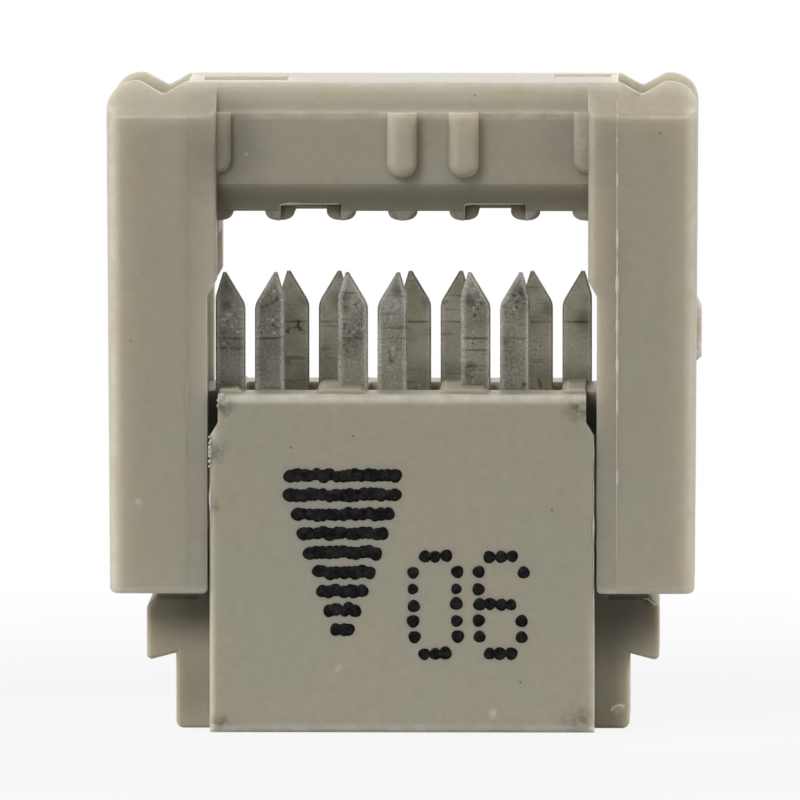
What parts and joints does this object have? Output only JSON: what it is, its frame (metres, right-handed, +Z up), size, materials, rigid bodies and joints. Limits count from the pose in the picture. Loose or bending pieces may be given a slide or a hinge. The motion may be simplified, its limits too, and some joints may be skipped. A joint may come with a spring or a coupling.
{
  "type": "ribbon cable socket connector",
  "caption": "Two-row insulation displacement socket for ribbon cable, cover standing open above the wire forks, moulded grey housing with stamped contacts.",
  "frame": {"origin": "centre of the housing block's bottom face, the face that meets the pin header", "axes": "+Z up from the mating face towards the cable cover, +X along the wire row from wire 1 to wire 6, +Y from the plain face towards the polarising key"},
  "size_m": [0.0123, 0.0071, 0.0134],
  "materials": {
    "housing_plastic": "moulded glass-filled polyester, pebble grey, slight sheen",
    "cover_plastic": "moulded glass-filled polyester, pebble grey, slight sheen",
    "contact_metal": "dull tin-plated copper alloy, stamped, lightly tarnished"
  },
  "bodies": {
    "base": {"base_housing": "housing_plastic", "contact_1": "contact_metal", "contact_2": "contact_metal", "contact_3": "contact_metal", "contact_4": "contact_metal", "contact_5": "contact_metal", "contact_6": "contact_metal"},
    "cover": {"cover": "cover_plastic"}
  },
  "joints": [
    {"name": "cover_slide", "type": "slide", "parent": "base", "child": "cover", "axis": [0, 0, -1], "range_m": [0, 0.0028]}
  ]
}
